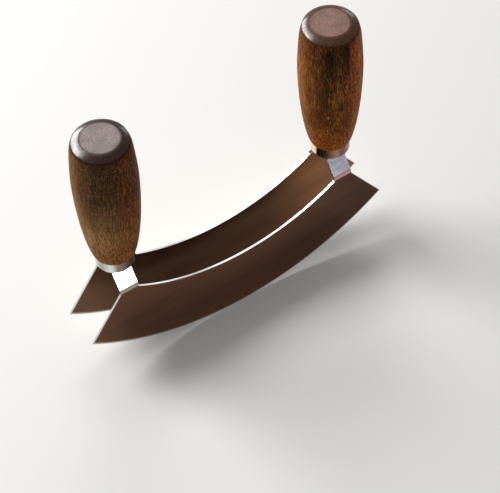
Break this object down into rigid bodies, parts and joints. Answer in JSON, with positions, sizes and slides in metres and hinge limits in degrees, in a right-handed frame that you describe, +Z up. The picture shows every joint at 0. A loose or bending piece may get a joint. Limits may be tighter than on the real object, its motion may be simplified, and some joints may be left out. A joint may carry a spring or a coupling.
{
  "type": "mezzaluna",
  "caption": "Rocking herb knife: parallel crescent blades folded from one steel sheet, bridged by roof-shaped straps that carry upright turned handles of dark wood in steel ferrules.",
  "frame": {"origin": "on the surface that the cutting edges rock on, under the middle of the tool", "axes": "+X along the blades, +Y from the near blade to the far one, +Z up through the handles"},
  "size_m": [0.18, 0.0332, 0.1639],
  "materials": {
    "blade_steel": "fine satin grain along the blade, near mirror",
    "ferrule_steel": "polished",
    "handle_wood": "dark stained hardwood under thin satin lacquer",
    "fastener_steel": "bright turned",
    "insert_brass": "bright turned"
  },
  "bodies": {
    "root": {"twin_blade": "blade_steel", "left_ferrule": "ferrule_steel", "right_ferrule": "ferrule_steel", "left_handle": "handle_wood", "right_handle": "handle_wood", "left_spacer": "fastener_steel", "right_spacer": "fastener_steel", "left_insert": "insert_brass", "right_insert": "insert_brass", "strap_screws": "fastener_steel", "lock_washers": "fastener_steel"}
  },
  "joints": []
}
